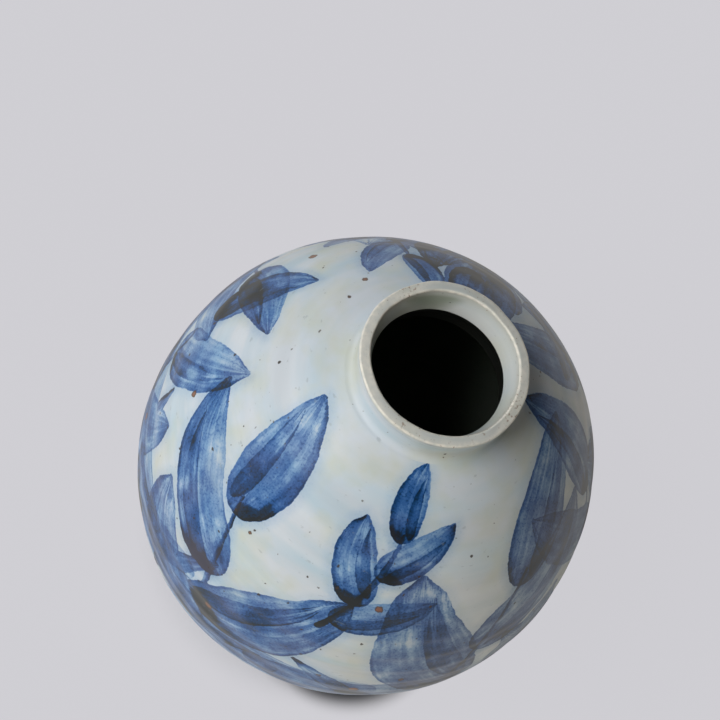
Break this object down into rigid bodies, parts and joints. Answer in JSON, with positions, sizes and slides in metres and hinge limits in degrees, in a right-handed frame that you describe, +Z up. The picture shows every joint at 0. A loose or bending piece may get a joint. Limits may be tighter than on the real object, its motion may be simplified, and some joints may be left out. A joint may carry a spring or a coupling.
{
  "type": "globe vase",
  "caption": "Round-bellied ceramic vase with a short flaring collar, a thick rounded lip and a turned foot ring, for holding flowers.",
  "frame": {"origin": "centre of the foot ring's resting face, on the vase's axis", "axes": "+Z up along the vase's axis, out of the mouth; +X and +Y level, with -Y the side seen in the picture"},
  "size_m": [0.28, 0.28, 0.3245],
  "materials": {
    "glaze": "satin pale celadon glaze",
    "slip": "fired slip, under the glaze outside and bare inside",
    "bare_clay": "unglazed, rubbed smooth"
  },
  "bodies": {
    "root": {"foot_ring": "bare_clay", "lower_bowl": "glaze", "belly_seam": "slip", "upper_bowl": "glaze", "neck_seam": "slip", "neck_collar": "glaze"}
  },
  "joints": []
}
